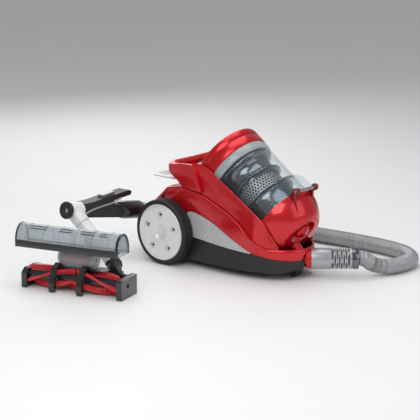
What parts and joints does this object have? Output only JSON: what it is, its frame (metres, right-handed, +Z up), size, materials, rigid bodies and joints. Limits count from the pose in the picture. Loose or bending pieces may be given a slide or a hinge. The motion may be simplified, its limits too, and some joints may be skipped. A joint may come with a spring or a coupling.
{
  "type": "canister vacuum cleaner",
  "caption": "Canister vacuum cleaner with a tilted clear cyclone bin between red shells, large side wheels, a ribbed hose, a hand grip, a wand and a powered floor brush",
  "frame": {"origin": "on the floor, under the middle of the box round everything but the free hose", "axes": "+X is the canister's front, +Y its left side, where the hose lies, +Z is up"},
  "size_m": [0.6552, 0.8385, 0.3435],
  "materials": {
    "red": "deep red moulded plastic under a clear gloss coat",
    "black": "satin black moulded plastic",
    "rubber": "soft black rubber",
    "white": "white moulded plastic, lightly pearled",
    "frosted": "frosted translucent white plastic",
    "silver": "silver-grey metallic plastic",
    "grille": "fine perforated silver-grey panel",
    "steel": "brushed steel",
    "smoke": "dark silver metallised plastic",
    "clear": "clear moulded polycarbonate",
    "bristle": "bright red nylon bristle",
    "filter": "off-white pleated filter paper"
  },
  "bodies": {
    "canister": {"chassis": "black", "right_fender": "red", "left_fender": "red", "right_rail": "red", "left_rail": "red", "rear_deck": "red", "front_bumper": "red", "carry_handle": "red", "bin_cradle": "black", "right_grille": "grille", "left_grille": "grille", "cord_gland": "rubber", "motor_can": "steel", "motor_saddle": "rubber", "exhaust_filter": "filter", "reel_axle": "steel", "right_axle": "steel", "left_axle": "steel", "inlet_elbow": "red", "hose": "silver", "grip_socket": "black", "grip_shell": "black", "wand_head": "white", "wand_cap": "rubber", "wand_tube": "white", "wand_latch": "black", "brush_neck": "black"},
    "right_wheel": {"right_tyre": "rubber", "right_hub": "white"},
    "left_wheel": {"left_tyre": "rubber", "left_hub": "white"},
    "caster": {"caster_fork": "black"},
    "caster_roller": {"caster_wheel": "rubber"},
    "fan": {"fan_impeller": "white"},
    "reel": {"reel_drum": "black"},
    "right_pedal_body": {"right_pedal": "frosted"},
    "left_pedal_body": {"left_pedal": "frosted"},
    "bin": {"bin_ring": "silver", "bin_gasket": "rubber", "bin_body": "clear", "cyclone_shroud": "smoke", "cyclone_mesh": "steel", "cyclone_cone": "smoke", "bin_cup": "red", "cup_hinge_pin": "steel"},
    "lid": {"lid_cap": "red", "lid_band": "red", "pre_filter": "filter"},
    "button": {"cup_button": "red"},
    "cuff": {"hose_cuff": "silver", "cuff_collar": "silver"},
    "slider": {"suction_slider": "silver"},
    "brush": {"brush_base": "black", "turbine_housing": "clear", "right_bearing": "silver", "left_bearing": "silver", "brush_post": "black"},
    "roll": {"brush_roll": "bristle"},
    "turbine": {"turbine_rotor": "red"},
    "hood": {"brush_hood": "clear"}
  },
  "joints": [
    {"name": "right_wheel_spin", "type": "hinge", "parent": "canister", "child": "right_wheel", "pos_m": [-0.15822, 0.06026, 0.082], "axis": [0, 1, 0], "continuous": true},
    {"name": "left_wheel_spin", "type": "hinge", "parent": "canister", "child": "left_wheel", "pos_m": [-0.15822, 0.30826, 0.082], "axis": [0, 1, 0], "continuous": true},
    {"name": "caster_swivel", "type": "hinge", "parent": "canister", "child": "caster", "pos_m": [0.15278, 0.18426, 0.02], "axis": [0, 0, 1], "continuous": true},
    {"name": "caster_roll", "type": "hinge", "parent": "caster", "child": "caster_roller", "pos_m": [0.16078, 0.18426, 0.0135], "axis": [0, 1, 0], "continuous": true},
    {"name": "fan_spin", "type": "hinge", "parent": "canister", "child": "fan", "pos_m": [-0.06522, 0.18426, 0.082], "axis": [0, 1, 0], "continuous": true},
    {"name": "reel_spin", "type": "hinge", "parent": "canister", "child": "reel", "pos_m": [-0.16522, 0.22026, 0.092], "axis": [0, 1, 0], "continuous": true},
    {"name": "right_pedal_press", "type": "hinge", "parent": "canister", "child": "right_pedal_body", "pos_m": [-0.14422, 0.12426, 0.208], "axis": [0, -1, 0], "range_deg": [0, 4], "stiffness_Nm_per_rad": 0.6, "springref_deg": -8.59},
    {"name": "left_pedal_press", "type": "hinge", "parent": "canister", "child": "left_pedal_body", "pos_m": [-0.14422, 0.24426, 0.208], "axis": [0, -1, 0], "range_deg": [0, 4], "stiffness_Nm_per_rad": 0.6, "springref_deg": -8.59},
    {"name": "bin_lift", "type": "slide", "parent": "canister", "child": "bin", "axis": [0.5764, 0, 0.8171], "range_m": [0, 0.15]},
    {"name": "lid_lift", "type": "slide", "parent": "bin", "child": "lid", "axis": [-0.8171, 0, 0.5764], "range_m": [0, 0.04]},
    {"name": "cup_button_press", "type": "slide", "parent": "bin", "child": "button", "axis": [-0.8171, 0, 0.5764], "range_m": [0, 0.004], "stiffness_N_per_m": 300, "springref_m": -0.002},
    {"name": "cuff_swivel", "type": "hinge", "parent": "canister", "child": "cuff", "pos_m": [0.18678, 0.19126, 0.0485], "axis": [0.7431, 0.6691, 0], "continuous": true},
    {"name": "suction_slide", "type": "slide", "parent": "canister", "child": "slider", "axis": [0.057, -0.9975, -0.0429], "range_m": [-0.008, 0.008]},
    {"name": "brush_tilt", "type": "hinge", "parent": "canister", "child": "brush", "pos_m": [-0.10033, -0.1866, 0.034], "axis": [-0.9573, -0.289, 0], "range_deg": [0, 20]},
    {"name": "roll_spin", "type": "hinge", "parent": "brush", "child": "roll", "pos_m": [-0.14248, -0.26148, 0.029], "axis": [0.9573, 0.289, 0], "continuous": true},
    {"name": "turbine_spin", "type": "hinge", "parent": "brush", "child": "turbine", "pos_m": [-0.14653, -0.24808, 0.078], "axis": [0.9573, 0.289, 0], "continuous": true},
    {"name": "hood_lift", "type": "slide", "parent": "brush", "child": "hood", "axis": [0, 0, 1], "range_m": [0, 0.04]}
  ],
  "couplings": [
    {"joint": "roll_spin", "follows": "turbine_spin", "ratio": 0.25}
  ]
}
